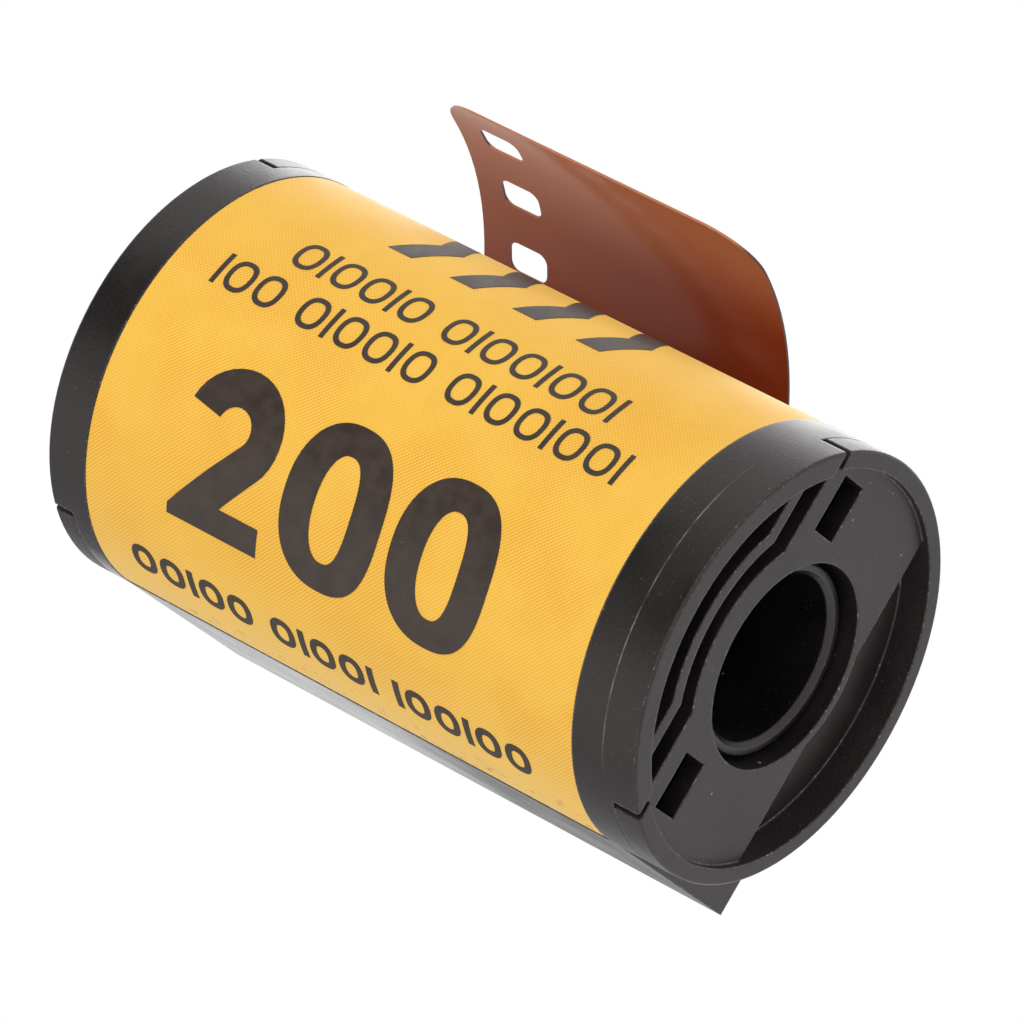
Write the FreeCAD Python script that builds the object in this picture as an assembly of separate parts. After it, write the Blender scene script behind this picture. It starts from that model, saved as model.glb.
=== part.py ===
"""A reusable 35 mm film cartridge with its paper label, spool, roll of film and curled leader.

X runs along the spool, towards the end with the rewind socket. Z is up: the mouth's outer lip lies flat on
the ground and points to +Y. The origin is on the spool's axis, where the straight wall of the socket begins.
Depths are counted inwards from the rim face of the end that they belong to.
"""
import FreeCAD, Part
import math
import os
from collections import namedtuple

V = FreeCAD.Vector
X_DIR = V(1, 0, 0)
ORIGIN = V(0, 0, 0)

# Body
BODY_R = 12.6
BAND_WALL = 0.85
LABEL_SINK = 0.15
WALL = 0.8
EDGE_CHAMFER = 0.12
SEAM_GAP = 0.06
FIT_GAP = 0.08

# Both ends, from the rim inwards
RIM_WALL = 1.0
RIM_TAPER = 0.25
CRESCENT_WALL = 1.3
BULGE_INSET = 4.95
BOSS_STEP = 1.2
BOSS_WALL = 0.45
HUB_GAP = 0.4
PLATE_SINK = 0.4
PLATE_STEP = 1.8
GROOVE_GAP = 0.3
RIB_GAP = 1.15
RIB_LEAD = 1.45
RIB_WALL = 0.75
RIM_STEP = 0.25
RIM_END_GAP = 0.45
FLOOR_WALL = 0.8
LAND = 0.7

# Latches: slots in the caps, fingers on the shell
SLOT_EDGE = 1.45
SLOT_WIDTH = 2.2
SLOT_HUB_WALL = 0.8
SLOT_LENGTH = 3.35
FINGER_GAP = 0.3
FINGER_WALL = 0.8
FINGER_SINK = 0.9
BARB = 0.4
BARB_DEEP = 0.5

# Mouth
MOUTH_NEAR = 4.0
MOUTH_CLEAR = 0.7
MOUTH_SIDE = 0.5
MOUTH_INNER_Y = 3.0
LIP_PROUD = 0.5
LIP_WALL = 0.75
FELT_THICK = 0.5
FELT_SIDE_GAP = 0.05
FELT_SETBACK = 0.15
FELT_LENGTH = 7.35

# Film
FILM_WIDTH = 35.0
FILM_THICK = 0.14
FILM_GAP = 0.08
FILM_EDGE_GAP = 0.15
ROLL_INSET = 0.9
ROLL_GAP = 0.08
LEADER_RUN = 0.3
LEADER_BEND_R = 5.3
LEADER_BEND_DEG = 67.7
LEADER_CURL_R = 20.1
LEADER_CURL_DEG = 107.3
INNER_BEND_MORE = 3.7
LEVEL_LEAD = 0.3
TONGUE_WIDTH = 22.8
SHOULDER_BACK = 7.0
SHOULDER_R = 6.0
TIP_NEAR_R = 3.3
TIP_FAR_R = 2.6
PERF_ACROSS = 2.8
PERF_ALONG = 1.98
PERF_CORNER = 0.65
PERF_MARGIN = 2.01
PERF_PITCH = 4.7
TIP_TO_PERF = 3.1

# Spool
LIP_SINK = 1.35
LIP_CHAMFER = 0.3
SOCKET_WALL = 0.7
SOCKET_LENGTH = 7.0
SOCKET_STEP = 0.9
RUNNING_GAP = 0.06
CORE_STEP = 0.1
FLANGE_GAP = 0.55
FLANGE_WALL = 0.65
KNOB_STEP = 0.2
KNOB_WALL = 1.2
KNOB_PROUD = 4.5
KNOB_BORE_DEEP = 6.0
KNOB_CHAMFER = 0.5
WEB_WALL = 1.3
WEB_LENGTH = 4.0
PARTITION = 1.5
TAPE_THICK = 0.06
TAPE_DEG = 70.0
TAPE_MARGIN = 7.5
TAPE_GAP = 0.04

# Label and its print
NEAR_LABEL_INSET = 0.46
FAR_LABEL_INSET = 0.22
FAR_BAND = 2.85
LABEL_THICK = 0.12
LABEL_END_GAP = 0.04
LABEL_LOW_Y = -0.45
LABEL_BACK_GAP = 1.4
INK_THICK = 0.03
DIGITS_SHIFT = 0.48
DIGITS_ARC = -4.85
DIGIT_HEIGHT = 9.7
DIGIT_WIDTH = 6.9
DIGIT_PITCH = 7.75
DIGIT_STROKE = 2.15
DIGIT_BAR = 1.75
TWO_INSET = 0.15
TWO_LEAVE_DEG = -40.0
TWO_HOOK_DEG = 170.0
TWO_STEP_DEG = 10.0
OVAL_POINTS = 24
OVAL_FULLNESS = 2.4
ROW_HEIGHT = 2.15
UPPER_ROW_ARC = 7.55
MIDDLE_ROW_ARC = 4.35
LOWER_ROW_ARC = -14.25
MARK_WIDTH = 1.76
MARK_GAP = 0.37
MARK_STROKE = 0.3
BOLD_STROKE = 0.45
WORD_GAP = 1.08
CHEVRONS = 4
CHEVRON_SHIFT = 0.3
CHEVRON_ARC = 14.3
CHEVRON_HEIGHT = 6.2
CHEVRON_WIDTH = 2.9
CHEVRON_STROKE = 1.7
CHEVRON_PITCH = 4.55

# Radii that follow
LABEL_SEAT_R = BODY_R - LABEL_SINK
LABEL_R = LABEL_SEAT_R + LABEL_THICK
TUBE_BORE_R = LABEL_SEAT_R - WALL
BAND_BORE_R = BODY_R - BAND_WALL
RIM_BORE_R = BODY_R - RIM_WALL
RIM_FOOT_R = RIM_BORE_R - RIM_TAPER
SKIRT_R = BAND_BORE_R - FIT_GAP
SKIRT_BORE_R = RIM_FOOT_R - WALL / 2
CRESCENT_BORE_R = BODY_R - CRESCENT_WALL
BULGE_R = BODY_R - BULGE_INSET
RIB_R = BULGE_R + RIB_GAP
BOSS_R = BULGE_R - BOSS_STEP
HUB_HOLE_R = BOSS_R - BOSS_WALL
JOURNAL_R = HUB_HOLE_R - HUB_GAP
SOCKET_R = JOURNAL_R - SOCKET_WALL
CORE_R = JOURNAL_R + CORE_STEP
CORE_BORE_R = SOCKET_R - SOCKET_STEP
FLANGE_R = BAND_BORE_R - FLANGE_GAP
ROLL_R = FLANGE_R - ROLL_INSET
KNOB_R = JOURNAL_R - KNOB_STEP
KNOB_BORE_R = KNOB_R - KNOB_WALL
INNER_BEND_R = ROLL_R + INNER_BEND_MORE

# Lengths and positions that follow
MOUTH_FAR = MOUTH_NEAR + FILM_WIDTH + 2 * MOUTH_CLEAR
LABEL_NEAR = MOUTH_NEAR + NEAR_LABEL_INSET
LABEL_FAR = MOUTH_FAR - FAR_LABEL_INSET
BODY_LENGTH = LABEL_FAR + FAR_BAND
FILM_NEAR = MOUTH_NEAR + MOUTH_CLEAR
FLANGE_NEAR = FILM_NEAR - FILM_EDGE_GAP - FLANGE_WALL
FLANGE_FAR = FILM_NEAR + FILM_WIDTH + FILM_EDGE_GAP + FLANGE_WALL
X_NEAR = LIP_SINK + LIP_CHAMFER
X_FAR = X_NEAR - BODY_LENGTH
X_LABEL_MIDDLE = X_NEAR - (LABEL_NEAR + LABEL_FAR) / 2
X_FILM_NEAR = X_NEAR - FILM_NEAR
X_FILM_FAR = X_FILM_NEAR - FILM_WIDTH
X_TONGUE = X_FILM_FAR + TONGUE_WIDTH
PLATE_HALF = BULGE_R - PLATE_STEP
RIB_Y = PLATE_HALF + RIB_LEAD
CAP_RIM_Y = RIM_STEP - PLATE_HALF
SHELL_RIM_Y = CAP_RIM_Y - RIM_END_GAP
SLOT_LOW_Y = SLOT_EDGE - PLATE_HALF
SLOT_HIGH_Y = SLOT_LOW_Y + SLOT_WIDTH
SLOT_INNER = HUB_HOLE_R + SLOT_HUB_WALL
SLOT_OUTER = SLOT_INNER + SLOT_LENGTH
MOUTH_REACH = BODY_R + LIP_PROUD
FELT_START = MOUTH_REACH - FELT_SETBACK - FELT_LENGTH
LEVEL_Y = FELT_START - LEVEL_LEAD
GROUND_Z = -BODY_R
FILM_Z = GROUND_Z + LIP_WALL + FELT_THICK + FILM_GAP + FILM_THICK / 2
MOUTH_LOW_Z = GROUND_Z + LIP_WALL
MOUTH_HIGH_Z = FILM_Z + (FILM_Z - MOUTH_LOW_Z)
MOUTH_TOP_Z = MOUTH_HIGH_Z + LIP_WALL
LABEL_BACK_Z = MOUTH_TOP_Z + LABEL_BACK_GAP

# How far a cutting shape runs past what it cuts
PAST = 1.0
WIDE = 2 * BODY_R

# One entry for each end of the body: its rim face, and how deep each of its parts begins or ends
End = namedtuple("End", "face inward seam band plate floor wall boss skirt cap_wall")
NEAR = End(face=X_NEAR, inward=-1, seam=1.85, band=LABEL_NEAR, plate=1.2, floor=1.8, wall=2.4,
           boss=FLANGE_NEAR - 0.5, skirt=FLANGE_NEAR - 0.6, cap_wall=FLANGE_NEAR - 0.9)
FAR_FLANGE = BODY_LENGTH - FLANGE_FAR
FAR = End(face=X_FAR, inward=1, seam=1.5, band=FAR_BAND, plate=0.8, floor=1.1, wall=1.1,
          boss=FAR_FLANGE - 0.33, skirt=FAR_FLANGE - 0.53, cap_wall=FAR_FLANGE - 0.63)


def span(end, shallow, deep):
    """The two x positions of a stretch between two depths, lowest first."""
    a = end.face + end.inward * shallow
    b = end.face + end.inward * deep
    return min(a, b), max(a, b)


def disc(radius, x_from, x_to):
    return Part.makeCylinder(radius, x_to - x_from, V(x_from, 0, 0), X_DIR)


def ring(outer, inner, x_from, x_to):
    return disc(outer, x_from, x_to).cut(disc(inner, x_from, x_to))


def block(x_from, x_to, y_from, y_to, z_from, z_to):
    return Part.makeBox(x_to - x_from, y_to - y_from, z_to - z_from, V(x_from, y_from, z_from))


def turned(points):
    """A solid of revolution about the spool's axis from (x, radius) points."""
    corners = [V(x, 0, r) for x, r in points]
    face = Part.Face(Part.makePolygon(corners + corners[:1]))
    return face.revolve(ORIGIN, X_DIR, 360)


def turned_end(end, points):
    return turned([(end.face + end.inward * depth, r) for depth, r in points])


def join(pieces):
    return pieces[0].multiFuse(pieces[1:]).removeSplitter()


def half_space(y_from, y_to, x_from, x_to):
    """A block wider than the body, to keep or cut one side of it."""
    return block(x_from, x_to, y_from, y_to, -WIDE, WIDE)


def band_outline(half, bulge, x_from, x_to):
    """The plate's form: a straight band whose front edge swells round the hub."""
    band = half_space(-half, PLATE_HALF, x_from, x_to)
    front = half_space(-WIDE, 0, x_from, x_to)
    return band.fuse(disc(bulge, x_from, x_to).common(front))


def cap_rim(end):
    """The C-shaped rim with the skirt that plugs into the shell's band."""
    outer_end = end.seam - SEAM_GAP
    rim = turned_end(end, [(EDGE_CHAMFER, BODY_R), (outer_end, BODY_R), (outer_end, SKIRT_R),
                           (end.skirt, SKIRT_R), (end.skirt, SKIRT_BORE_R), (end.floor, SKIRT_BORE_R),
                           (end.floor, RIM_FOOT_R), (0, RIM_BORE_R), (0, BODY_R - EDGE_CHAMFER)])
    rim = rim.cut(half_space(-WIDE, CAP_RIM_Y, *span(end, -PAST, end.skirt + PAST)))
    return rim.cut(half_space(-WIDE, SLOT_HIGH_Y + FINGER_GAP, *span(end, outer_end, end.skirt + PAST)))


def cap_plate(end):
    """The plate band, cut back where the shell's crescent passes its corners."""
    x_low, x_high = span(end, PLATE_SINK, PLATE_SINK + end.plate)
    plate = band_outline(PLATE_HALF, BULGE_R, x_low, x_high).common(disc(RIM_BORE_R, x_low, x_high))
    corner = half_space(-WIDE, CAP_RIM_Y, x_low, x_high)
    return plate.cut(corner.cut(disc(CRESCENT_BORE_R - FIT_GAP, x_low, x_high)))


def cap_walls(end):
    """The wall that hangs from the plate's outline, open towards the sunken floor."""
    x_low, x_high = span(end, PLATE_SINK, end.cap_wall)
    room = band_outline(PLATE_HALF - WALL, BULGE_R - WALL, x_low, x_high)
    room = room.cut(half_space(PLATE_HALF - WALL, PLATE_HALF, x_low, x_high))
    walls = band_outline(PLATE_HALF, BULGE_R, x_low, x_high).cut(room)
    return walls.common(disc(RIM_FOOT_R - WALL, x_low, x_high))


def end_cap(end):
    """One push-on cap: rim, plate band, sunken floor, hub boss and two latch slots."""
    floor_low, floor_high = span(end, end.floor, end.floor + FLOOR_WALL)
    floor = disc(RIM_FOOT_R, floor_low, floor_high)
    floor = floor.common(half_space(PLATE_HALF - WALL, WIDE, floor_low, floor_high))
    boss = disc(BOSS_R, *span(end, PLATE_SINK, end.boss))
    cap = join([cap_rim(end), cap_plate(end), cap_walls(end), floor, boss])
    cap = cap.cut(disc(HUB_HOLE_R, *span(end, -PAST, end.boss - LAND)))
    cap = cap.cut(disc(JOURNAL_R + RUNNING_GAP, *span(end, 0, end.boss + PAST)))
    slot_low, slot_high = span(end, 0, end.skirt + PAST)
    for side in (1, -1):
        z_low, z_high = sorted((side * SLOT_INNER, side * SLOT_OUTER))
        cap = cap.cut(block(slot_low, slot_high, SLOT_LOW_Y, SLOT_HIGH_Y, z_low, z_high))
    return cap.removeSplitter()


def latch_finger(end, side):
    """A finger of the shell that comes up through a cap's slot, on a bracket from the tube's wall."""
    y_low = SLOT_LOW_Y + FINGER_GAP
    y_high = y_low + FINGER_WALL
    top = PLATE_SINK + FINGER_SINK
    z_low, z_high = sorted((side * (SLOT_INNER + FINGER_GAP), side * (SLOT_OUTER - FINGER_GAP)))
    x_low, x_high = span(end, top, end.boss)
    finger = block(x_low, x_high, y_low, y_high, z_low, z_high)
    x_low, x_high = span(end, top, top + BARB_DEEP)
    barb = block(x_low, x_high, y_high, y_high + BARB, z_low + 2 * BARB, z_high - 2 * BARB)
    x_low, x_high = span(end, PLATE_SINK + end.plate + FINGER_GAP, end.boss)
    z_low, z_high = sorted((side * (SLOT_INNER + FINGER_GAP), side * BODY_R))
    foot = block(x_low, x_high, y_low, y_high, z_low, z_high)
    foot = foot.common(disc(BODY_R - BAND_WALL / 2, x_low, x_high))
    return join([finger, barb, foot])


def shell_end(end):
    """What the shell has at one end: half the band, the front crescent with its rib, and the latches."""
    half_band = ring(BODY_R, BAND_BORE_R, *span(end, end.seam, end.band))
    crescent = turned_end(end, [(EDGE_CHAMFER, BODY_R), (end.band, BODY_R), (end.band, BAND_BORE_R),
                                (end.seam, BAND_BORE_R), (end.seam, CRESCENT_BORE_R), (0, CRESCENT_BORE_R),
                                (0, BODY_R - EDGE_CHAMFER)])
    crescent = crescent.common(half_space(-WIDE, SHELL_RIM_Y, *span(end, -PAST, end.band + PAST)))
    x_low, x_high = span(end, end.wall, end.wall + FLOOR_WALL)
    wall = disc(BODY_R - BAND_WALL / 2, x_low, x_high)
    wall = wall.common(half_space(-WIDE, SHELL_RIM_Y, x_low, x_high))
    wall = wall.cut(band_outline(PLATE_HALF + GROOVE_GAP, BULGE_R + GROOVE_GAP, x_low, x_high))
    x_low, x_high = span(end, PLATE_SINK, end.wall + FLOOR_WALL / 2)
    rib = band_outline(RIB_Y + RIB_WALL, RIB_R + RIB_WALL, x_low, x_high)
    rib = rib.cut(band_outline(RIB_Y, RIB_R, x_low, x_high))
    rib = rib.common(half_space(-WIDE, SHELL_RIM_Y, x_low, x_high))
    rib = rib.common(disc(CRESCENT_BORE_R + RIM_TAPER, x_low, x_high))
    return [half_band, crescent, wall, rib, latch_finger(end, 1), latch_finger(end, -1)]


def body_shell():
    """The tube with its mouth lips, closed by a band at each end."""
    x_low = X_NEAR - MOUTH_FAR
    x_high = X_NEAR - MOUTH_NEAR
    tube = ring(LABEL_SEAT_R, TUBE_BORE_R, x_low, x_high)
    mouth = block(x_low, x_high, 0, MOUTH_REACH, GROUND_Z, MOUTH_TOP_Z)
    mouth = mouth.cut(disc(TUBE_BORE_R, x_low - PAST, x_high + PAST))
    slot = block(x_low + MOUTH_SIDE, x_high - MOUTH_SIDE, MOUTH_INNER_Y, MOUTH_REACH + PAST,
                 MOUTH_LOW_Z, MOUTH_HIGH_Z)
    shell = join([tube, mouth] + shell_end(NEAR) + shell_end(FAR))
    return shell.cut(slot).removeSplitter()


def felt(z_low):
    side = MOUTH_SIDE + FELT_SIDE_GAP
    return block(X_NEAR - MOUTH_FAR + side, X_NEAR - MOUTH_NEAR - side, FELT_START,
                 MOUTH_REACH - FELT_SETBACK, z_low, z_low + FELT_THICK)


def spool_outline():
    """(depth, radius) corners from the socket's lip to the knob and back through the bore."""
    lip_side = JOURNAL_R - EDGE_CHAMFER / 2
    socket_end = LIP_SINK + LIP_CHAMFER + SOCKET_LENGTH
    knob_end = BODY_LENGTH + KNOB_PROUD
    middle = BODY_LENGTH / 2
    return [(LIP_SINK, SOCKET_R + LIP_CHAMFER), (LIP_SINK, lip_side),
            (LIP_SINK + EDGE_CHAMFER / 2, JOURNAL_R), (FLANGE_NEAR, JOURNAL_R), (FLANGE_NEAR, FLANGE_R),
            (FLANGE_NEAR + FLANGE_WALL, FLANGE_R), (FLANGE_NEAR + FLANGE_WALL, CORE_R),
            (FLANGE_FAR - FLANGE_WALL, CORE_R), (FLANGE_FAR - FLANGE_WALL, FLANGE_R),
            (FLANGE_FAR, FLANGE_R), (FLANGE_FAR, JOURNAL_R), (BODY_LENGTH, JOURNAL_R), (BODY_LENGTH, KNOB_R),
            (knob_end - KNOB_CHAMFER, KNOB_R), (knob_end, KNOB_R - KNOB_CHAMFER), (knob_end, KNOB_BORE_R),
            (knob_end - KNOB_BORE_DEEP, KNOB_BORE_R), (knob_end - KNOB_BORE_DEEP, CORE_BORE_R),
            (middle + PARTITION / 2, CORE_BORE_R), (middle + PARTITION / 2, 0), (middle - PARTITION / 2, 0),
            (middle - PARTITION / 2, CORE_BORE_R), (socket_end, CORE_BORE_R), (socket_end, SOCKET_R),
            (LIP_SINK + LIP_CHAMFER, SOCKET_R)]


def spool():
    """Core, two flanges, the lipped socket at the near end and the knob at the far end, each with its web."""
    socket_end = LIP_SINK + LIP_CHAMFER + SOCKET_LENGTH
    knob_bore_end = BODY_LENGTH + KNOB_PROUD - KNOB_BORE_DEEP
    pieces = [turned_end(NEAR, spool_outline())]
    for start in (socket_end, knob_bore_end - WEB_LENGTH):
        x_low, x_high = span(NEAR, start, start + WEB_LENGTH)
        bar = half_space(-WEB_WALL / 2, WEB_WALL / 2, x_low, x_high)
        pieces.append(bar.common(disc((CORE_BORE_R + CORE_R) / 2, x_low, x_high)))
    return join(pieces)


def sector(outer, inner, x_from, x_to, start_deg, turn_deg):
    """Part of a tube, from start_deg (counted from +Y towards +Z) through turn_deg."""
    a = math.radians(start_deg)
    corners = [V(x_from, r * math.cos(a), r * math.sin(a)) for r in (inner, outer)]
    corners += [V(x_to, r * math.cos(a), r * math.sin(a)) for r in (outer, inner)]
    face = Part.Face(Part.makePolygon(corners + corners[:1]))
    return face.revolve(ORIGIN, X_DIR, turn_deg)


def film_tape():
    inner = CORE_R + TAPE_GAP
    return sector(inner + TAPE_THICK, inner, X_FILM_FAR + TAPE_MARGIN, X_FILM_NEAR - TAPE_MARGIN, 0, TAPE_DEG)


def film_roll():
    return ring(ROLL_R, CORE_R + TAPE_THICK + 2 * TAPE_GAP, X_FILM_FAR, X_FILM_NEAR)


def leader_path():
    """Start, heading and legs (length, radius; 0 is straight) of the leader's middle line.

    It leaves the roll on a tangent, bends level into the mouth, and curls up behind the body.
    """
    roll_r = ROLL_R + ROLL_GAP + FILM_THICK / 2
    bend_z = FILM_Z + INNER_BEND_R
    apart = math.hypot(LEVEL_Y, bend_z)
    away = math.asin((roll_r - INNER_BEND_R) / apart)
    heading = math.atan2(bend_z, LEVEL_Y) + away
    start = (roll_r * math.sin(heading), -roll_r * math.cos(heading))
    legs = [(apart * math.cos(away), 0), (-INNER_BEND_R * heading, INNER_BEND_R),
            (MOUTH_REACH + LEADER_RUN - LEVEL_Y, 0),
            (LEADER_BEND_R * math.radians(LEADER_BEND_DEG), LEADER_BEND_R),
            (LEADER_CURL_R * math.radians(LEADER_CURL_DEG), LEADER_CURL_R)]
    return start, heading, legs


def along_leader(distance):
    """Where the leader's middle line is after a distance, and its heading there."""
    (y, z), heading, legs = leader_path()
    for length, radius in legs:
        step = min(distance, length)
        if radius:
            turned_to = heading + step / radius
            y += radius * (math.sin(turned_to) - math.sin(heading))
            z -= radius * (math.cos(turned_to) - math.cos(heading))
            heading = turned_to
        else:
            y += step * math.cos(heading)
            z += step * math.sin(heading)
        distance -= step
    return y, z, heading


def beside_leader(distance, side, x):
    y, z, heading = along_leader(distance)
    return V(x, y - side * math.sin(heading), z + side * math.cos(heading))


def leader_side(first, last, side, x):
    """The edges of one side of the film between two distances, in order."""
    edges = []
    reached = 0.0
    for length, radius in leader_path()[2]:
        a = max(first, reached)
        b = min(last, reached + length)
        reached += length
        if b <= a:
            continue
        ends = [beside_leader(d, side, x) for d in (a, (a + b) / 2, b)]
        if radius:
            edges.append(Part.Arc(*ends).toShape())
        else:
            edges.append(Part.LineSegment(ends[0], ends[2]).toShape())
    return edges


def film_sheet(first, last, thick, x_from, x_to):
    """A strip along the leader's path."""
    front = leader_side(first, last, thick / 2, x_from)
    back = leader_side(first, last, -thick / 2, x_from)
    start, stop = [Part.makeLine(beside_leader(d, thick / 2, x_from), beside_leader(d, -thick / 2, x_from))
                   for d in (first, last)]
    wire = Part.Wire(front + [stop] + back[::-1] + [start])
    return Part.Face(wire).extrude(V(x_to - x_from, 0, 0))


def seat_on_leader(solid, distance):
    """Moves a solid whose Y runs along the film and Z through it to its place on the path."""
    y, z, heading = along_leader(distance)
    solid.rotate(ORIGIN, X_DIR, math.degrees(heading))
    solid.translate(V(0, y, z))
    return solid


def leader_length():
    return sum(length for length, radius in leader_path()[2])


def mouth_distance():
    """How far along the leader the mouth's edge is."""
    legs = leader_path()[2]
    return legs[0][0] + legs[1][0] + MOUTH_REACH - LEVEL_Y


def perforation(x, distance):
    hole = block(x - PERF_ACROSS / 2, x + PERF_ACROSS / 2, -PERF_ALONG / 2, PERF_ALONG / 2, -PAST, PAST)
    uprights = [e for e in hole.Edges if abs(e.tangentAt(e.FirstParameter).z) > 0.99]
    return seat_on_leader(hole.makeFillet(PERF_CORNER, uprights), distance)


def corner_cut(x_corner, inwards, radius, distance):
    """What a rounded corner at the film's tip takes away."""
    x_centre = x_corner + inwards * radius
    x_low, x_high = sorted((x_centre, x_corner - inwards * PAST))
    depth = 2 * PAST
    chunk = block(x_low, x_high, 0, radius + PAST, -depth, depth)
    chunk = chunk.cut(Part.makeCylinder(radius, 2 * depth, V(x_centre, 0, -depth)))
    return seat_on_leader(chunk, distance - radius)


def shoulder_cut(distance):
    """Where the full width narrows to the tongue, with a rounded root."""
    half = SHOULDER_R / 2
    chunk = block(X_TONGUE, X_FILM_NEAR + PAST, -half, half, -PAST, PAST)
    root = block(X_TONGUE, X_TONGUE + SHOULDER_R, -half, half, -PAST, PAST)
    root = root.cut(Part.makeCylinder(SHOULDER_R, 2 * PAST, V(X_TONGUE + SHOULDER_R, half, -PAST)))
    return seat_on_leader(chunk.cut(root), distance + half)


def perforations(end):
    """The holes along the tongue's far edge, counted back from the tip to the mouth."""
    x = X_FILM_FAR + PERF_MARGIN + PERF_ACROSS / 2
    distance = end - TIP_TO_PERF
    holes = []
    while distance > mouth_distance() + PERF_ALONG:
        holes.append(perforation(x, distance))
        distance -= PERF_PITCH
    return Part.makeCompound(holes)


def film_leader():
    """The film from the roll through the mouth, inside which it narrows, to the curled tongue."""
    end = leader_length()
    shoulder = mouth_distance() - SHOULDER_BACK
    narrow_from = shoulder + SHOULDER_R - FILM_THICK
    cuts = [film_sheet(narrow_from, end, PAST, X_TONGUE, X_FILM_NEAR + PAST), shoulder_cut(shoulder),
            corner_cut(X_TONGUE, -1, TIP_NEAR_R, end), corner_cut(X_FILM_FAR, 1, TIP_FAR_R, end)]
    film = film_sheet(0, end, FILM_THICK, X_FILM_FAR, X_FILM_NEAR)
    for cut in cuts:
        film = film.cut(cut)
    return film.cut(perforations(end))


def paper_label():
    """The paper sleeve between the bands, open over the mouth."""
    start = math.degrees(math.asin(LABEL_BACK_Z / LABEL_R))
    stop = 270 + math.degrees(math.asin(LABEL_LOW_Y / LABEL_R))
    low = X_NEAR - LABEL_FAR + LABEL_END_GAP
    high = X_NEAR - LABEL_NEAR - LABEL_END_GAP
    return sector(LABEL_R, LABEL_SEAT_R, low, high, start, stop - start)


def printed(faces, arc):
    """Wraps flat outlines round the label as ink, centred at an arc length above the front line.

    The outlines have X as in the part and Y up the label. They are thrown outwards on the cylinder.
    """
    prisms = [face.extrude(V(0, 0, WIDE)) for face in faces]
    angle = 90 - math.degrees(arc / LABEL_R)
    for prism in prisms:
        prism.rotate(ORIGIN, X_DIR, angle)
    ink = ring(LABEL_R + INK_THICK, LABEL_R, X_NEAR - LABEL_FAR, X_NEAR - LABEL_NEAR)
    return [ink.common(prism) for prism in prisms]


def flattened(arc):
    """The height, on the flat outline, of an arc length counted from the outline's middle."""
    return LABEL_R * math.sin(arc / LABEL_R)


def outline(points):
    corners = [V(x, flattened(y), 0) for x, y in points]
    return Part.Face(Part.makePolygon(corners + corners[:1]))


def oval(x, y, half_width, half_height):
    """A smooth oval with fuller corners than an ellipse."""
    points = []
    for i in range(OVAL_POINTS):
        a = 2 * math.pi * i / OVAL_POINTS
        c, s = math.cos(a), math.sin(a)
        fullness = (abs(c) ** OVAL_FULLNESS + abs(s) ** OVAL_FULLNESS) ** (-1 / OVAL_FULLNESS)
        points.append(V(x + half_width * fullness * c, flattened(y + half_height * fullness * s), 0))
    curve = Part.BSplineCurve()
    curve.interpolate(Points=points, PeriodicFlag=True)
    return Part.Face(Part.Wire(curve.toShape()))


def oval_ring(x, y, width, height, stroke, bar):
    return oval(x, y, width / 2, height / 2).cut(oval(x, y, width / 2 - stroke, height / 2 - bar))


def digit_two(x_left):
    """A bold 2 on its middle height: a bowl, then a slanting stem onto a flat foot."""
    outer = DIGIT_WIDTH / 2 - TWO_INSET
    inner = outer - DIGIT_STROKE
    x = x_left + outer
    y = DIGIT_HEIGHT / 2 - outer
    foot = -DIGIT_HEIGHT / 2
    leave = math.radians(TWO_LEAVE_DEG)
    steps = round((TWO_HOOK_DEG - TWO_LEAVE_DEG) / TWO_STEP_DEG)
    rays = [leave + math.radians(TWO_STEP_DEG * i) for i in range(steps + 1)]
    bowl_out = [(x + outer * math.cos(a), y + outer * math.sin(a)) for a in reversed(rays)]
    bowl_in = [(x + inner * math.cos(a), y + inner * math.sin(a)) for a in rays]
    down = (math.sin(leave), -math.cos(leave))
    high = bowl_out[-1]
    low = bowl_in[0]
    to_foot = (high[1] - foot - DIGIT_BAR) / -down[1]
    to_side = (low[0] - x_left) / -down[0]
    stem = [(high[0] + to_foot * down[0], foot + DIGIT_BAR), (x_left + 2 * outer, foot + DIGIT_BAR),
            (x_left + 2 * outer, foot), (x_left, foot), (x_left, low[1] + to_side * down[1])]
    return outline(bowl_out + stem + bowl_in)


def label_digits():
    """The big plain number."""
    left = X_LABEL_MIDDLE - DIGITS_SHIFT - DIGIT_PITCH - DIGIT_WIDTH / 2
    faces = [digit_two(left)]
    for i in (1, 2):
        x = left + i * DIGIT_PITCH + DIGIT_WIDTH / 2
        faces.append(oval_ring(x, 0, DIGIT_WIDTH, DIGIT_HEIGHT, DIGIT_STROKE, DIGIT_BAR))
    return Part.makeCompound(printed(faces, DIGITS_ARC))


def mark_row(pattern, stroke):
    """A row of plain rings (0) and bars (1) in place of a line of small print."""
    advance = {"0": MARK_WIDTH + MARK_GAP, "1": stroke + MARK_GAP, " ": WORD_GAP}
    x = X_LABEL_MIDDLE - sum(advance[mark] for mark in pattern) / 2
    half = ROW_HEIGHT / 2
    faces = []
    for mark in pattern:
        if mark == "0":
            faces.append(oval_ring(x + MARK_WIDTH / 2, 0, MARK_WIDTH, ROW_HEIGHT, stroke, stroke))
        if mark == "1":
            faces.append(outline([(x, -half), (x + stroke, -half), (x + stroke, half), (x, half)]))
        x += advance[mark]
    return faces


def chevron(x_left):
    half = CHEVRON_HEIGHT / 2
    right = x_left + CHEVRON_WIDTH
    return outline([(x_left, half), (x_left + CHEVRON_STROKE, half), (right, 0),
                    (x_left + CHEVRON_STROKE, -half), (x_left, -half), (right - CHEVRON_STROKE, 0)])


def chevron_row():
    reach = (CHEVRONS - 1) * CHEVRON_PITCH + CHEVRON_WIDTH
    left = X_LABEL_MIDDLE - CHEVRON_SHIFT - reach / 2
    return [chevron(left + i * CHEVRON_PITCH) for i in range(CHEVRONS)]


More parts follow.
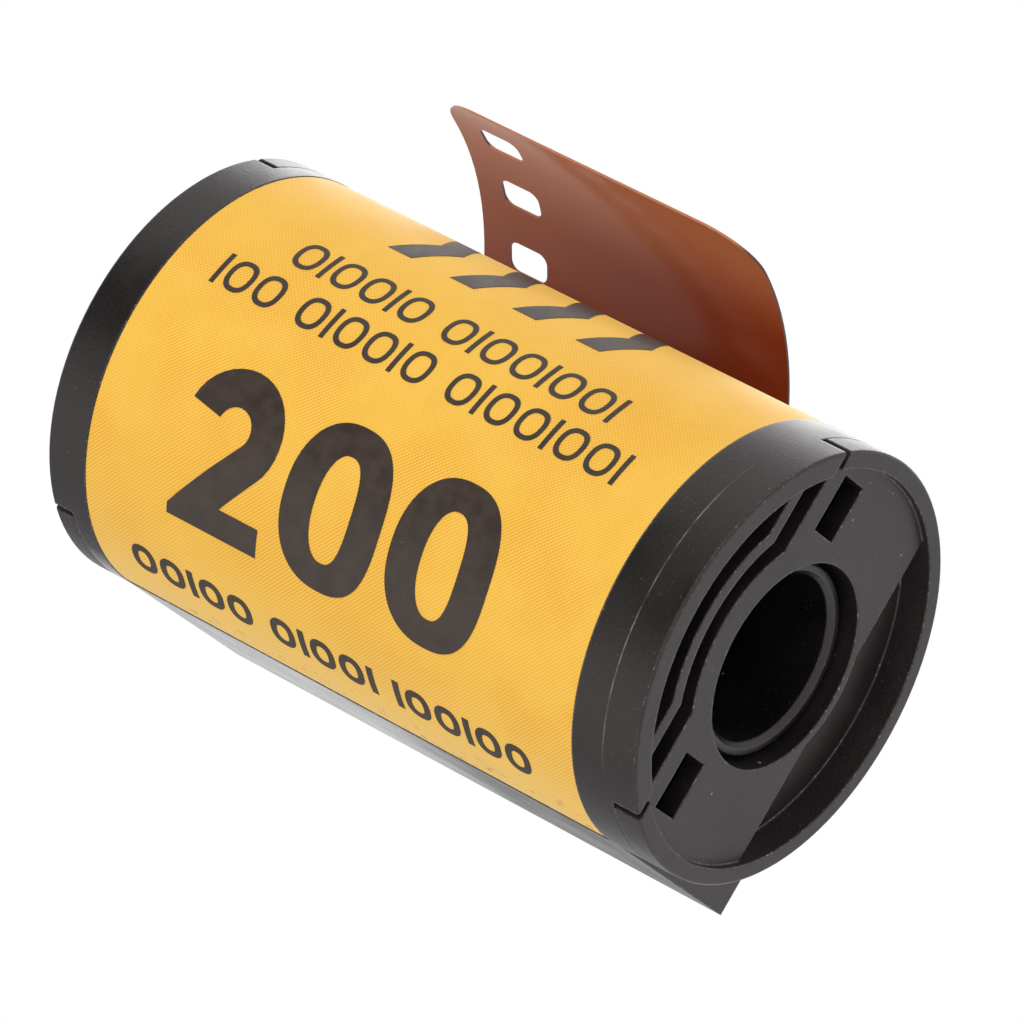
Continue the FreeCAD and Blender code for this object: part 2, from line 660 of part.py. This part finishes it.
def label_marks():
    """The small print: rows of rings and bars, and a row of bold chevrons."""
    return Part.makeCompound(printed(mark_row("010010 01001001", MARK_STROKE), UPPER_ROW_ARC)
                             + printed(mark_row("100 010010 01001001", MARK_STROKE), MIDDLE_ROW_ARC)
                             + printed(mark_row("00100 01001 100100", BOLD_STROKE), LOWER_ROW_ARC)
                             + printed(chevron_row(), CHEVRON_ARC))


def build():
    return {
        "body_shell": body_shell(),
        "near_end_cap": end_cap(NEAR),
        "far_end_cap": end_cap(FAR),
        "paper_label": paper_label(),
        "label_digits": label_digits(),
        "label_marks": label_marks(),
        "spool": spool(),
        "film_roll": film_roll(),
        "film_tape": film_tape(),
        "film_leader": film_leader(),
        "outer_felt": felt(MOUTH_LOW_Z),
        "inner_felt": felt(MOUTH_HIGH_Z - FELT_THICK),
    }


os.makedirs("parts", exist_ok=True)
for name, shape in build().items():
    box = shape.BoundBox
    limits = "x %.2f..%.2f y %.2f..%.2f z %.2f..%.2f" % (box.XMin, box.XMax, box.YMin, box.YMax,
                                                         box.ZMin, box.ZMax)
    print(name, "solids", len(shape.Solids), "valid", shape.isValid(), "volume", round(shape.Volume, 2), limits)
    shape.exportStep("parts/%s.step" % name)
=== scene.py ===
"""Looks of the 35 mm film cartridge: materials, pile at the mouth, floor, light and camera, in metres."""

import math
import random

import bpy
from mathutils import Matrix, Vector


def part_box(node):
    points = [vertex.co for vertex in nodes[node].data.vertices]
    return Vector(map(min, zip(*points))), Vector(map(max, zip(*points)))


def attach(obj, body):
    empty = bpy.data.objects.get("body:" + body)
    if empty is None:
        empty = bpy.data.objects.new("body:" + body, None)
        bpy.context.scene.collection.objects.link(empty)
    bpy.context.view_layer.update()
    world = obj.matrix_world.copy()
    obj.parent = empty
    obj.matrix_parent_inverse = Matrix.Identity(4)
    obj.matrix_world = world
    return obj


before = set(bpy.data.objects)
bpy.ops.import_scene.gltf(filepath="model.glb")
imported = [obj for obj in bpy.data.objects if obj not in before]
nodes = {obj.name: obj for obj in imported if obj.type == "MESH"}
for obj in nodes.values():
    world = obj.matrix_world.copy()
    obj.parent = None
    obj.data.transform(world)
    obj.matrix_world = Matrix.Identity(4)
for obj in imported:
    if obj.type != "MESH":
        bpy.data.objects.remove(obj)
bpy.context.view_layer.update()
scene = bpy.context.scene

BODY_R = 0.0126
NEAR_FACE = 0.00165
GROUND = -0.0126
SEAM_X = NEAR_FACE - 0.0023

# Surfaces: colours and the sizes of what is on them
EDGE_RADIUS = 0.0002
# Painted glint colour
PAINTED_GLINT_COLOUR = (0.095, 0.085, 0.082)
# Edge colours: part wear, part painted edge highlight and glints
WORN_AND_HIGHLIGHT_COLOUR = (0.36, 0.34, 0.32)
NICK_AND_GLINT_COLOUR = (0.80, 0.75, 0.71)
DUST_COLOUR = (0.46, 0.42, 0.39)
# Seam colour: the mould line, with a painted highlight on it
SEAM_AND_HIGHLIGHT_COLOUR = (0.3, 0.29, 0.28)
PAPER_DEEP = (0.91, 0.545, 0.075)
PAPER_LIGHT = (0.95, 0.58, 0.09)
# Painted sheen colour, mixed in toward the label's top and bottom edges
PAPER_PAINTED_SHEEN = (0.93, 0.62, 0.18)
PAPER_CUT = (0.86, 0.72, 0.50)
SCREEN_COLOUR = (0.80, 0.37, 0.035)
SCUFF_COLOUR = (0.30, 0.10, 0.03)
INK_DARK = (0.034, 0.022, 0.016)
INK_LIGHT = (0.052, 0.035, 0.026)
INK_GAP = (0.5, 0.36, 0.16)
FILM_DARK = (0.21, 0.030, 0.007)
FILM_LIGHT = (0.25, 0.038, 0.010)
# Painted sheen colours, mixed in toward the film's top and toward its far end
FILM_PAINTED_SHEEN_MID = (0.34, 0.070, 0.022)
FILM_PAINTED_SHEEN_TOP = (0.62, 0.27, 0.14)
FILM_PAINTED_SHEEN_FAR = (0.60, 0.26, 0.16)
FILM_SCRATCH = (0.45, 0.14, 0.06)
FILM_CUT = (0.10, 0.045, 0.075)
FILM_GLOW = (0.60, 0.14, 0.03)
TAPE_DARK = (0.62, 0.55, 0.38)
TAPE_LIGHT = (0.72, 0.66, 0.5)
CAST_TONE = (0.0115, 0.0095, 0.0095)
SPOOL_TONE = (0.0085, 0.0075, 0.0075)
FELT_TONE = (0.012, 0.012, 0.013)

# Noise scales, counted per metre, and how high the relief stands
PATCH_SCALE = 260
GRAIN_SCALE = 6200
FINE_SCALE = 16000
CHIP_SCALE = 4200
SEAM_SCALE = 700
GRAIN_RELIEF = 0.000025
PRINT_RELIEF = 0.00002

# Specks: cell, size and, where it is the same everywhere, the share of cells that hold one
# Strength of the worn edges and nicks, which are part wear and part painted edge highlight
WEAR_AND_HIGHLIGHT = 0.5
PAINTED_GLINTS = (0.00030, 0.00011, 0.30)
NICKS_AND_GLINTS = (0.00030, 0.00020, 0.6)
SMALL_DUST = (0.0012, 0.00011)
LARGE_DUST = (0.0037, 0.00016)

# Stretches over which the seam line and the lip's polish fade in
SEAM_HALF = (0.00006, 0.00002)
SEAM_LOW = (-0.0125, -0.008)
SEAM_HIGH = (0.0095, 0.002)
POLISH_X = (-0.006, -0.030)
POLISH_Z = (-0.0120, -0.0124)

# The label's printed screen
SCREEN_DEG = 46
SCREEN_PITCH = 0.00018

# Fibres along the felts
FIBRES = 2600
FIBRE_RADIUS = 0.000011
FIBRE_TIP = 0.25
FIBRE_LENGTH = (0.00018, 0.00042)
FIBRE_ROOTS = 0.00025
FIBRE_CURL = 0.4
END_MARGIN = 0.0001
FACE_MARGIN = 0.00004
FACE_GAP = 0.00002
RINGS = 4
CORNERS = 3

# Floor and studio
FLOOR_HALF = 0.6
FLOOR_CENTRE = (-0.02, 0.005)
FLOOR_GAP = 0.00002
FRONT_DARK = 0.95
BELOW_DARK = 0.5
BEHIND_DARK = 0.1
AMBIENT = 0.78
LAMP_AIM = (-0.02, 0.004, 0.002)
LAMP_DISTANCE = 0.5

# Camera: where it stands, and its right, up and back directions
LENS = 299.2545
SENSOR = 36.0
CAMERA_PLACE = (0.2351350, -0.3874191, -0.0338125)
CAMERA_RIGHT = (0.744454, 0.443478, 0.499114)
CAMERA_UP = (-0.383374, -0.328101, 0.863350)
CAMERA_BACK = (0.546637, -0.834073, -0.074238)


class Net:
    """Shader nodes of one material: add() makes a node, and a socket given as a value is linked."""

    def __init__(self, tree):
        self.tree = tree
        tree.nodes.clear()

    def add(self, kind, inputs=None, **settings):
        node = self.tree.nodes.new("ShaderNode" + kind)
        for key, value in settings.items():
            setattr(node, key, value)
        for key, value in (inputs or {}).items():
            if isinstance(value, bpy.types.NodeSocket):
                self.tree.links.new(value, node.inputs[key])
            else:
                node.inputs[key].default_value = value
        return node

    def math(self, operation, a, b=0.0, c=0.0):
        return self.add("Math", {0: a, 1: b, 2: c}, operation=operation).outputs[0]

    def remap(self, value, low, high, to_low=0.0, to_high=1.0):
        """A smooth step: to_low where the value is low, to_high where it is high."""
        node = self.add("MapRange", {"Value": value, "From Min": low, "From Max": high, "To Min": to_low,
                                     "To Max": to_high}, interpolation_type="SMOOTHSTEP")
        return node.outputs["Result"]

    def mix(self, factor, a, b):
        node = self.add("Mix", data_type="RGBA", blend_type="MIX")
        for key, value in ((0, factor), (6, a), (7, b)):
            if isinstance(value, bpy.types.NodeSocket):
                self.tree.links.new(value, node.inputs[key])
            else:
                node.inputs[key].default_value = value
        return node.outputs[2]

    def noise(self, where, scale, detail=2.0, roughness=0.5):
        return self.add("TexNoise", {"Vector": where, "Scale": scale, "Detail": detail,
                                     "Roughness": roughness}).outputs[0]

    def place(self):
        """Where a point is in the part's frame, in metres."""
        return self.add("TexCoord").outputs["Object"]

    def parts(self, where):
        """The x, y and z of a place."""
        return self.add("SeparateXYZ", {0: where}).outputs

    def front_arc(self, y, z):
        """The arc length up the body's front, in metres, counted from its foremost line."""
        turn = self.math("ARCTAN2", z, self.math("MULTIPLY", y, -1.0))
        return self.math("MULTIPLY", turn, BODY_R)

    def side_facing(self, low, high):
        """1 where the surface faces along the spool, which on a thin sheet is its cut edge."""
        side = self.parts(self.add("TexCoord").outputs["Normal"])[0]
        return self.remap(self.math("ABSOLUTE", side), low, high)

    def bump(self, height, strength, distance, normal=None):
        inputs = {"Height": height, "Strength": strength, "Distance": distance}
        if normal is not None:
            inputs["Normal"] = normal
        return self.add("Bump", inputs).outputs[0]

    def finish(self, shader):
        self.add("OutputMaterial", {"Surface": shader})


def rgb(r, g, b):
    return (r, g, b, 1.0)


def new_material(name):
    material = bpy.data.materials.new(name)
    material.use_nodes = True
    return material, Net(material.node_tree)


def edge_wear_and_highlight(net, radius):
    """A rounded normal, and how much it turns away from the flat one: 0 on faces, 1 on sharp edges."""
    rounded = net.add("Bevel", {"Radius": radius}, samples=6).outputs[0]
    flat = net.add("NewGeometry").outputs["Normal"]
    along = net.add("VectorMath", {0: rounded, 1: flat}, operation="DOT_PRODUCT").outputs["Value"]
    return rounded, net.remap(along, 0.985, 0.75)


def specks(net, where, cell, size, share):
    """Small round grains, one at most in each cell, in only a share of the cells."""
    grain = net.add("TexVoronoi", {"Vector": where, "Scale": 1 / cell, "Randomness": 1.0}, feature="F1")
    chosen = net.add("SeparateColor", {0: grain.outputs["Color"]}).outputs
    kept = net.math("LESS_THAN", chosen[0], share)
    radius = net.math("MULTIPLY_ADD", chosen[1], 0.7 * size / cell, 0.3 * size / cell)
    return net.math("MULTIPLY", kept, net.remap(grain.outputs["Distance"], radius, 0.0, 0.0, 1.0))


def moulded_plastic(name, tone, rough, dust, seam=False):
    """Black moulded plastic with a sparked texture and painted glints, worn edges that are partly a painted
    highlight, and a little dust.
    """
    material, net = new_material(name)
    where = net.place()
    x, y, z = net.parts(where)
    patches = net.noise(where, PATCH_SCALE, 3)
    grain = net.noise(where, GRAIN_SCALE, 4, 0.7)
    fine = net.noise(where, FINE_SCALE, 1)
    rounded, worn_and_highlit = edge_wear_and_highlight(net, EDGE_RADIUS)
    chips = net.remap(net.noise(where, CHIP_SCALE, 3, 0.7), 0.42, 0.62, 0.2, 1.0)
    worn_and_highlit = net.math("MULTIPLY", worn_and_highlit, net.math("MULTIPLY", chips, net.remap(patches, 0.3, 0.6, 0.5, 1.0)))
    dull, bright, raised = [rgb(*[share * c for c in tone]) for share in (0.8, 1.2, 2.6)]
    colour = net.mix(net.remap(patches, 0.3, 0.7), dull, bright)
    colour = net.mix(net.remap(grain, 0.52, 0.70, 0.0, 0.6), colour, raised)
    # Painted glints: small lighter specks stand in for the sparkle of the sparked texture
    painted_glints = specks(net, where, *PAINTED_GLINTS)
    colour = net.mix(net.math("MULTIPLY", painted_glints, 0.5), colour, rgb(*PAINTED_GLINT_COLOUR))
    # Worn edges mixed lighter grey and bright nicks on them: part wear, part painted edge highlight and
    # glints
    colour = net.mix(net.math("MULTIPLY", worn_and_highlit, WEAR_AND_HIGHLIGHT), colour, rgb(*WORN_AND_HIGHLIGHT_COLOUR))
    nicks_and_glints = net.math("MULTIPLY", specks(net, where, *NICKS_AND_GLINTS), net.remap(worn_and_highlit, 0.05, 0.25))
    colour = net.mix(net.math("MULTIPLY", nicks_and_glints, WEAR_AND_HIGHLIGHT), colour, rgb(*NICK_AND_GLINT_COLOUR))
    height = net.math("ADD", grain, net.math("MULTIPLY", fine, 0.4))
    roughness = net.remap(patches, 0.3, 0.7, rough - 0.04, rough + 0.05)
    if seam:
        arc = net.front_arc(y, z)
        near = net.math("ABSOLUTE", net.math("SUBTRACT", x, SEAM_X))
        line = net.remap(near, *SEAM_HALF)
        reach = net.math("MULTIPLY", net.remap(arc, *SEAM_LOW), net.remap(arc, *SEAM_HIGH))
        patchy = net.remap(net.noise(where, SEAM_SCALE, 3), 0.35, 0.62, 0.12, 1.0)
        line = net.math("MULTIPLY", line, net.math("MULTIPLY", reach, patchy))
        # The seam line is mixed lighter grey: the raised mould line with a painted highlight on it
        colour = net.mix(net.math("MULTIPLY", line, 0.65), colour, rgb(*SEAM_AND_HIGHLIGHT_COLOUR))
        height = net.math("ADD", height, net.math("MULTIPLY", line, 1.2))
        polished = net.math("MULTIPLY", net.remap(x, *POLISH_X), net.remap(z, *POLISH_Z))
        roughness = net.math("MULTIPLY", roughness, net.remap(polished, 0.0, 1.0, 1.0, 0.5))
        height = net.math("MULTIPLY", height, net.remap(polished, 0.0, 1.0, 1.0, 0.25))
    grains = specks(net, where, *SMALL_DUST, dust)
    grains = net.math("MAXIMUM", grains, specks(net, where, *LARGE_DUST, 2.2 * dust))
    colour = net.mix(grains, colour, rgb(*DUST_COLOUR))
    roughness = net.math("MAXIMUM", roughness, grains)
    shader = net.add("BsdfPrincipled", {"Base Color": colour, "Roughness": roughness,
                                        "IOR": 1.52, "Specular Tint": rgb(1.0, 0.89, 0.885),
                                        "Normal": net.bump(height, 0.7, GRAIN_RELIEF, rounded)})
    net.finish(shader.outputs[0])
    return material


def label_paper():
    """Orange-yellow coated paper with a fine slanted printed screen and a painted sheen paler toward its top
    and bottom, cream where it is cut.
    """
    material, net = new_material("label_paper")
    where = net.place()
    x, y, z = net.parts(where)
    arc = net.front_arc(y, z)
    turn = math.radians(SCREEN_DEG)
    cosine = math.cos(turn)
    sine = math.sin(turn)
    u = net.math("ADD", net.math("MULTIPLY", x, cosine), net.math("MULTIPLY", arc, sine))
    v = net.math("SUBTRACT", net.math("MULTIPLY", arc, cosine), net.math("MULTIPLY", x, sine))
    pitch = 2 * math.pi / SCREEN_PITCH
    rows = net.math("SINE", net.math("MULTIPLY", v, pitch))
    columns = net.math("SINE", net.math("MULTIPLY", u, pitch))
    screen = net.math("MULTIPLY_ADD", net.math("ADD", rows, net.math("MULTIPLY", columns, 0.6)), 0.35, 0.5)
    mottle = net.noise(where, 420, 4, 0.6)
    colour = net.mix(net.remap(mottle, 0.3, 0.7), rgb(*PAPER_DEEP), rgb(*PAPER_LIGHT))
    strong = net.remap(net.noise(where, 150, 2), 0.35, 0.65, 0.55, 1.0)
    dots = net.math("MULTIPLY", net.remap(screen, 0.15, 0.85, 0.0, 0.95), strong)
    colour = net.mix(dots, colour, rgb(*SCREEN_COLOUR))
    # Painted sheen: the label is mixed paler toward its top and bottom edges
    pale = net.math("MAXIMUM", net.remap(arc, -0.010, -0.018), net.remap(arc, 0.013, 0.020))
    colour = net.mix(net.math("MULTIPLY", pale, 0.6), colour, rgb(*PAPER_PAINTED_SHEEN))
    low = net.remap(arc, -0.0158, -0.0178)
    scuffs = net.math("MULTIPLY", net.remap(net.noise(where, 1500, 4, 0.65), 0.57, 0.7), low)
    colour = net.mix(net.math("MULTIPLY", scuffs, 0.6), colour, rgb(*SCUFF_COLOUR))
    colour = net.mix(net.side_facing(0.5, 0.8), colour, rgb(*PAPER_CUT))
    height = net.math("ADD", net.math("MULTIPLY", screen, 0.5), net.noise(where, 2600, 4, 0.6))
    rough = net.remap(mottle, 0.3, 0.7, 0.5, 0.58)
    shader = net.add("BsdfPrincipled", {"Base Color": colour, "Roughness": rough, "Specular IOR Level": 0.3,
                                        "IOR": 1.45, "Normal": net.bump(height, 0.12, PRINT_RELIEF)})
    net.finish(shader.outputs[0])
    return material


def label_ink():
    """Dense dark ink with tiny gaps where the paper's grain shows."""
    material, net = new_material("label_ink")
    where = net.place()
    cloud = net.noise(where, 900, 3, 0.6)
    colour = net.mix(net.remap(cloud, 0.3, 0.7), rgb(*INK_DARK), rgb(*INK_LIGHT))
    gaps = specks(net, where, 0.0009, 0.00007, 0.09)
    colour = net.mix(net.math("MULTIPLY", gaps, 0.55), colour, rgb(*INK_GAP))
    height = net.noise(where, 3000, 3, 0.6)
    rough = net.remap(cloud, 0.3, 0.7, 0.44, 0.54)
    shader = net.add("BsdfPrincipled", {"Base Color": colour, "Roughness": rough, "IOR": 1.45,
                                        "Normal": net.bump(height, 0.12, PRINT_RELIEF)})
    net.finish(shader.outputs[0])
    return material


def film_base():
    """Brown film with a soft gloss that lets some light through, a painted sheen lighter toward its top and
    far end, purplish where it is cut.
    """
    material, net = new_material("film_base")
    where = net.place()
    x, y, z = net.parts(where)
    cloud = net.noise(where, 90, 2)
    colour = net.mix(net.remap(cloud, 0.3, 0.7), rgb(*FILM_DARK), rgb(*FILM_LIGHT))
    # Painted sheen: the film is mixed lighter with height and toward its far end
    colour = net.mix(net.remap(z, 0.0125, 0.0175), colour, rgb(*FILM_PAINTED_SHEEN_MID))
    colour = net.mix(net.remap(z, 0.0165, 0.0200), colour, rgb(*FILM_PAINTED_SHEEN_TOP))
    far = net.math("MULTIPLY", net.remap(x, -0.022, -0.038), net.remap(z, 0.0115, 0.017))
    colour = net.mix(net.math("MULTIPLY", far, 0.45), colour, rgb(*FILM_PAINTED_SHEEN_FAR))
    stretched = net.add("Mapping", {"Vector": where, "Scale": (1.0, 0.04, 0.04)}).outputs[0]
    scratches = net.noise(stretched, 3600, 2)
    colour = net.mix(net.remap(scratches, 0.62, 0.75, 0.0, 0.12), colour, rgb(*FILM_SCRATCH))
    colour = net.mix(net.side_facing(0.6, 0.9), colour, rgb(*FILM_CUT))
    height = net.math("ADD", net.math("MULTIPLY", scratches, 0.2), net.noise(where, 2600, 2))
    normal = net.bump(height, 0.03, 0.00001)
    rough = net.remap(cloud, 0.3, 0.7, 0.15, 0.19)
    gloss = net.add("BsdfPrincipled", {"Base Color": colour, "Roughness": rough, "IOR": 1.5,
                                       "Normal": normal})
    through = net.mix(0.5, colour, rgb(*FILM_GLOW))
    glow = net.add("BsdfTranslucent", {"Color": through, "Normal": normal})
    shader = net.add("MixShader", {0: 0.25, 1: gloss.outputs[0], 2: glow.outputs[0]})
    net.finish(shader.outputs[0])
    return material


def plush(name, tone):
    """Short black pile: soft, rough, with a faint sheen."""
    material, net = new_material(name)
    where = net.place()
    tufts = net.noise(where, 4200, 3, 0.7)
    colour = net.mix(net.remap(tufts, 0.35, 0.7), rgb(*tone), rgb(*[2.6 * c for c in tone]))
    rough = net.remap(tufts, 0.3, 0.7, 0.8, 0.95)
    shader = net.add("BsdfPrincipled", {"Base Color": colour, "Roughness": rough,
                                        "Sheen Weight": 0.35, "Sheen Roughness": 0.5,
                                        "Normal": net.bump(tufts, 0.8, 0.0001)})
    net.finish(shader.outputs[0])
    return material


def clear_tape():
    """Yellowed adhesive tape."""
    material, net = new_material("tape")
    where = net.place()
    cloud = net.noise(where, 500, 3)
    colour = net.mix(net.remap(cloud, 0.3, 0.7), rgb(*TAPE_DARK), rgb(*TAPE_LIGHT))
    rough = net.remap(cloud, 0.3, 0.7, 0.18, 0.3)
    shader = net.add("BsdfPrincipled", {"Base Color": colour, "Roughness": rough,
                                        "Normal": net.bump(cloud, 0.1, 0.00005)})
    net.finish(shader.outputs[0])
    return material


shell_plastic = moulded_plastic("shell_plastic", CAST_TONE, 0.36, dust=0.14, seam=True)
cap_plastic = moulded_plastic("cap_plastic", CAST_TONE, 0.38, dust=0.26)
spool_plastic = moulded_plastic("spool_plastic", SPOOL_TONE, 0.28, dust=0.34)
film = film_base()
ink = label_ink()
felt = plush("felt", FELT_TONE)
finishes = {
    "body_shell": shell_plastic, "near_end_cap": cap_plastic, "far_end_cap": cap_plastic,
    "paper_label": label_paper(), "label_digits": ink, "label_marks": ink, "spool": spool_plastic,
    "film_roll": film, "film_leader": film, "film_tape": clear_tape(), "outer_felt": felt, "inner_felt": felt,
}
for name, material in finishes.items():
    nodes[name].data.materials.clear()
    nodes[name].data.materials.append(material)


def pile(name, node, count, seed):
    """Loose fibres along the outer edge of one felt, curling out of the mouth."""
    low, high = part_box(node)
    dice = random.Random(seed)
    verts = []
    faces = []
    for i in range(count):
        x = dice.uniform(low.x + END_MARGIN, high.x - END_MARGIN)
        y = high.y - dice.uniform(0.0, FIBRE_ROOTS)
        z = dice.uniform(low.z + FACE_MARGIN, high.z - FACE_MARGIN)
        lean = Vector((dice.gauss(0, 0.45), 1.0, dice.gauss(0, 0.35))).normalized()
        curl = Vector((dice.gauss(0, 0.5), 0.0, dice.gauss(0, 0.4)))
        length = dice.uniform(*FIBRE_LENGTH)
        rings = []
        for step in range(RINGS):
            t = step / (RINGS - 1)
            centre = Vector((x, y, z)) + length * (t * lean + FIBRE_CURL * t * t * curl)
            centre.z = min(max(centre.z, low.z + FACE_GAP), high.z - FACE_GAP)
            size = FIBRE_RADIUS * (1.0 - (1.0 - FIBRE_TIP) * t)
            start = len(verts)
            for k in range(CORNERS):
                a = 2 * math.pi * k / CORNERS
                verts.append(centre + Vector((size * math.cos(a), 0.0, size * math.sin(a))))
            rings.append(start)
        for a, b in zip(rings, rings[1:]):
            for k in range(CORNERS):
                n = (k + 1) % CORNERS
                faces.append((a + k, a + n, b + n, b + k))
        faces.append(tuple(rings[-1] + k for k in range(CORNERS)))
    mesh = bpy.data.meshes.new(name)
    mesh.from_pydata([tuple(v) for v in verts], [], faces)
    mesh.materials.append(felt)
    piece = bpy.data.objects.new(name, mesh)
    scene.collection.objects.link(piece)
    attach(piece, "shell")
    return piece


pile("outer_pile", "outer_felt", FIBRES, 3)
pile("inner_pile", "inner_felt", FIBRES, 5)

# Floor: pale from above with the object's shadow on it, see-through from below
floor_mesh = bpy.data.meshes.new("floor")
corners = [(FLOOR_HALF * a, FLOOR_HALF * b, 0) for a, b in ((-1, -1), (1, -1), (1, 1), (-1, 1))]
floor_mesh.from_pydata(corners, [], [(0, 1, 2, 3)])
floor = bpy.data.objects.new("floor", floor_mesh)
floor.location = (*FLOOR_CENTRE, GROUND - FLOOR_GAP)
scene.collection.objects.link(floor)
floor.visible_diffuse = False
floor.visible_glossy = False
floor.visible_transmission = False
floor.visible_shadow = False
floor_paint, net = new_material("floor_paint")
where = net.place()
tone = net.mix(net.remap(net.noise(where, 30, 3), 0.3, 0.7), rgb(0.80, 0.80, 0.80), rgb(0.84, 0.84, 0.835))
paint = net.add("BsdfPrincipled", {"Base Color": tone, "Roughness": 0.9,
                                   "Normal": net.bump(net.noise(where, 900, 3), 0.05, 0.0005)})
clear = net.add("BsdfTransparent")
below = net.add("NewGeometry").outputs["Backfacing"]
net.finish(net.add("MixShader", {0: below, 1: paint.outputs[0], 2: clear.outputs[0]}).outputs[0])
floor_mesh.materials.append(floor_paint)

# Studio: white behind the part, an even white room for its colours, and a dark side in its reflections
world = bpy.data.worlds.new("studio")
scene.world = world
world.use_nodes = True
net = Net(world.node_tree)
direction = net.add("TexCoord").outputs["Generated"]
unit = net.add("VectorMath", {0: direction}, operation="NORMALIZE").outputs[0]


def toward(direction, edge, middle):
    """1 in a direction, falling to 0 at an angle from it; both angles in degrees."""
    axis = Vector(direction).normalized()
    along = net.add("VectorMath", {0: unit, 1: axis}, operation="DOT_PRODUCT").outputs["Value"]
    return net.remap(along, math.cos(math.radians(edge)), math.cos(math.radians(middle)))


front = toward((-0.55, -0.83, 0.06), 38, 15)
below = toward((-0.50, 0.45, -0.74), 45, 10)
behind = toward((0.45, 0.85, 0.0), 50, 10)
room = net.math("SUBTRACT", 1.0, net.math("MULTIPLY", front, FRONT_DARK))
room = net.math("MULTIPLY", room, net.math("SUBTRACT", 1.0, net.math("MULTIPLY", below, BELOW_DARK)))
room = net.math("MULTIPLY", room, net.math("SUBTRACT", 1.0, net.math("MULTIPLY", behind, BEHIND_DARK)))
path = net.add("LightPath").outputs
seen = net.add("Background", {"Color": rgb(1, 1, 1), "Strength": 1.0})
mirrored = net.add("Background", {"Color": net.mix(room, rgb(0, 0, 0), rgb(1, 1, 1)), "Strength": 1.0})
ambient = net.add("Background", {"Color": rgb(1, 1, 1), "Strength": AMBIENT})
light = net.add("MixShader", {0: path["Is Glossy Ray"], 1: ambient.outputs[0], 2: mirrored.outputs[0]})
open_view = net.math("MAXIMUM", path["Is Camera Ray"], path["Is Transmission Ray"])
whole = net.add("MixShader", {0: open_view, 1: light.outputs[0], 2: seen.outputs[0]})
net.add("OutputWorld", {"Surface": whole.outputs[0]})


def lamp(name, direction, size, power, glossy=False):
    """A soft square lamp that looks at the part from a direction."""
    data = bpy.data.lights.new(name, "AREA")
    data.shape = "SQUARE"
    data.size = size
    data.energy = power
    thing = bpy.data.objects.new(name, data)
    away = Vector(direction).normalized()
    thing.location = Vector(LAMP_AIM) + LAMP_DISTANCE * away
    thing.rotation_mode = "QUATERNION"
    thing.rotation_quaternion = away.to_track_quat("Z", "Y")
    thing.visible_glossy = glossy
    scene.collection.objects.link(thing)


lamp("key", (-0.35, -0.75, 0.55), 0.35, 0.6)
lamp("low", (-0.2, -0.8, -0.6), 0.35, 0.5)
lamp("top", (-0.55, 0.64, 0.52), 0.30, 0.75, True)

camera_data = bpy.data.cameras.new("camera")
camera_data.lens = LENS
camera_data.sensor_width = SENSOR
camera_data.sensor_fit = "HORIZONTAL"
camera_data.clip_start = 0.01
camera = bpy.data.objects.new("camera", camera_data)
scene.collection.objects.link(camera)
turned = Matrix((CAMERA_RIGHT, CAMERA_UP, CAMERA_BACK)).transposed().to_4x4()
camera.matrix_world = Matrix.Translation(CAMERA_PLACE) @ turned
scene.camera = camera
scene.view_settings.view_transform = "Standard"
